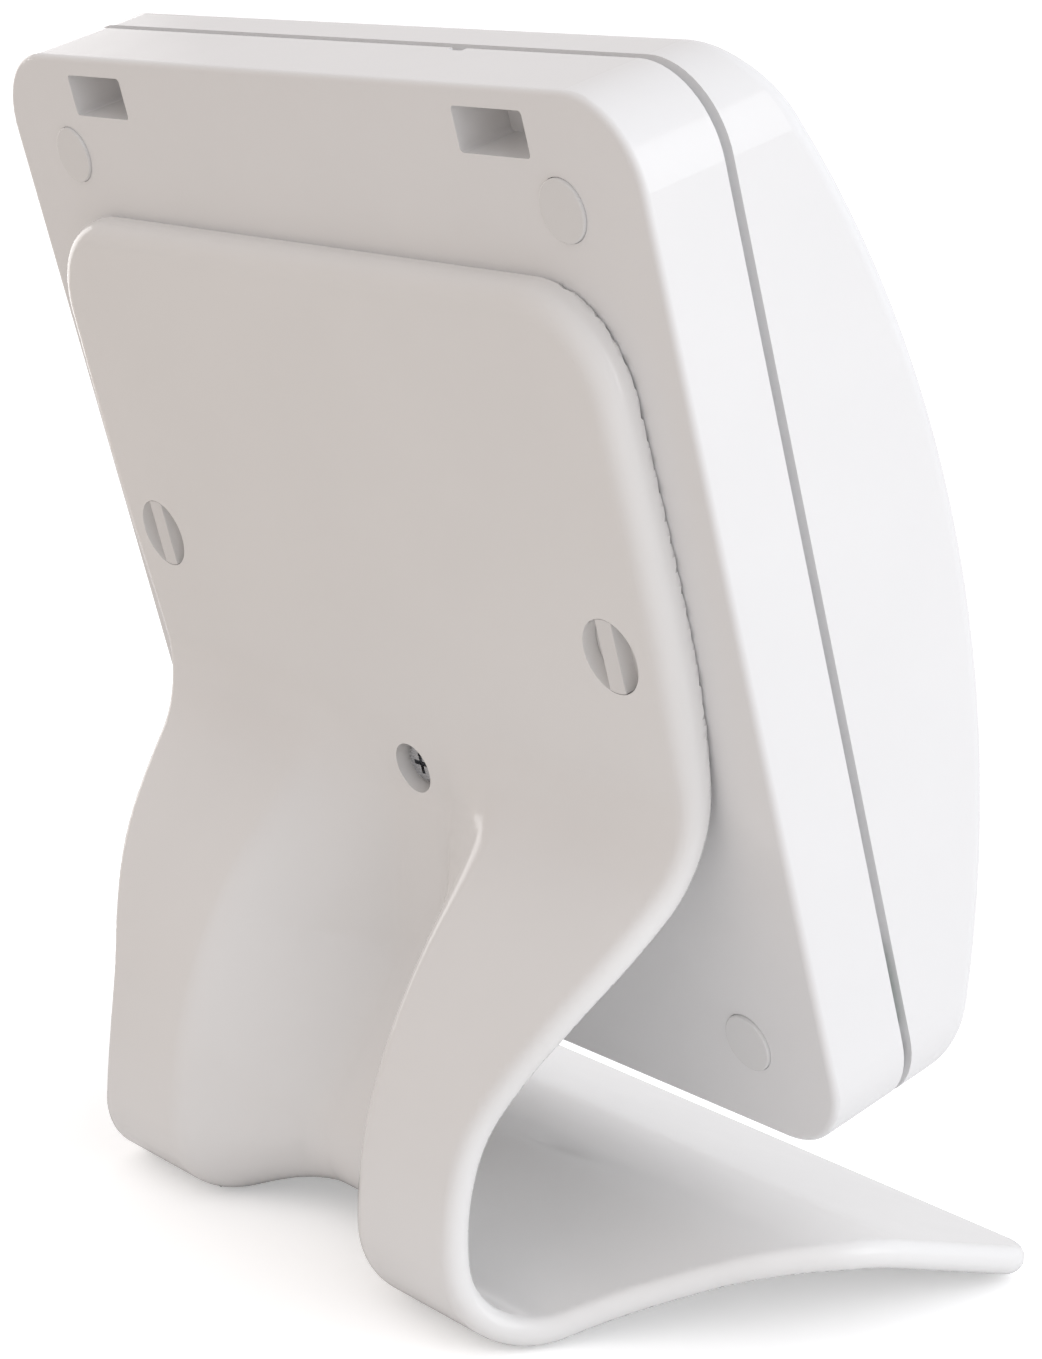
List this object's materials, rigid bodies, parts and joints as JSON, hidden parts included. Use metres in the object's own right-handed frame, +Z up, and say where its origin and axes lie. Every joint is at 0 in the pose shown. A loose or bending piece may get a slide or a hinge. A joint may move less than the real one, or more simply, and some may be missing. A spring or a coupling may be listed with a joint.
{
  "type": "digital photo frame",
  "caption": "Square digital photo frame: thick two-shell glossy white housing with a bulged front, leaning back on an S-shaped ribbon stand with a cable channel between its legs.",
  "frame": {"origin": "on the table, under the middle of the object's bounding box", "axes": "+Z up; the picture side faces -Y; +X is to the left seen from behind, the side with the buttons and the card slot"},
  "size_m": [0.1409, 0.0799, 0.1653],
  "materials": {
    "housing_white": "polished moulded",
    "stand_white": "polished moulded",
    "cover_white": "polished moulded",
    "lock_white": "polished moulded",
    "button_white": "polished moulded",
    "window_smoked": "polished, tinted",
    "panel_black": "glossy",
    "guide_milky": "milky",
    "tray_white": "matte",
    "shroud_black": "matte",
    "foam_grey": "foam",
    "rubber_grey": "matte",
    "steel_sheet": "rolled",
    "steel_screw": "zinc plated",
    "board_green": "solder mask",
    "chip_black": "moulded",
    "connector_ivory": "moulded",
    "ferrite_grey": "sintered",
    "can_aluminium": "drawn",
    "brass_pin": "turned",
    "flex_amber": "flexible film"
  },
  "bodies": {
    "photo_frame": {"backlight_strip": "connector_ivory", "board_screws": "steel_screw", "bracket_screws": "steel_screw", "button_board": "board_green", "button_cable": "flex_amber", "button_connector": "connector_ivory", "button_switches": "chip_black", "capacitors": "can_aluminium", "card_socket": "steel_sheet", "case_screws": "steel_screw", "cell_holder": "chip_black", "clock_cell": "steel_sheet", "crystal": "steel_sheet", "display_cable": "flex_amber", "display_connector": "connector_ivory", "display_window": "window_smoked", "flash_chip": "chip_black", "foot_pads": "rubber_grey", "front_housing": "housing_white", "jack_pin": "brass_pin", "lcd_back_tray": "tray_white", "lcd_bezel": "steel_sheet", "lcd_glass": "panel_black", "light_guide": "guide_milky", "light_shroud": "shroud_black", "lock_washers": "steel_screw", "main_board": "board_green", "memory_chips": "chip_black", "panel_bracket": "steel_sheet", "power_chip": "chip_black", "power_inductors": "ferrite_grey", "power_jack": "chip_black", "processor": "chip_black", "rear_housing": "housing_white", "screw_covers": "cover_white", "shroud_gasket": "foam_grey", "stand": "stand_white", "stand_screw": "steel_screw"},
    "stand_lock_left_body": {"stand_lock_left": "lock_white"},
    "stand_lock_right_body": {"stand_lock_right": "lock_white"},
    "power_button_body": {"power_button": "button_white"},
    "menu_button_body": {"menu_button": "button_white"},
    "previous_button_body": {"previous_button": "button_white"},
    "next_button_body": {"next_button": "button_white"}
  },
  "joints": [
    {"name": "stand_lock_left_turn", "type": "hinge", "parent": "photo_frame", "child": "stand_lock_left_body", "pos_m": [0.051, 0.01745, 0.0927], "axis": [0, 0.9588, -0.284], "range_deg": [-90, 0]},
    {"name": "stand_lock_right_turn", "type": "hinge", "parent": "photo_frame", "child": "stand_lock_right_body", "pos_m": [-0.051, 0.01745, 0.0927], "axis": [0, 0.9588, -0.284], "range_deg": [0, 90]},
    {"name": "power_button_press", "type": "slide", "parent": "photo_frame", "child": "power_button_body", "axis": [-1, 0, 0], "range_m": [0, 0.0005], "stiffness_N_per_m": 800, "springref_m": -0.0005},
    {"name": "menu_button_press", "type": "slide", "parent": "photo_frame", "child": "menu_button_body", "axis": [-1, 0, 0], "range_m": [0, 0.0005], "stiffness_N_per_m": 800, "springref_m": -0.0005},
    {"name": "previous_button_press", "type": "slide", "parent": "photo_frame", "child": "previous_button_body", "axis": [-1, 0, 0], "range_m": [0, 0.0005], "stiffness_N_per_m": 800, "springref_m": -0.0005},
    {"name": "next_button_press", "type": "slide", "parent": "photo_frame", "child": "next_button_body", "axis": [-1, 0, 0], "range_m": [0, 0.0005], "stiffness_N_per_m": 800, "springref_m": -0.0005}
  ]
}
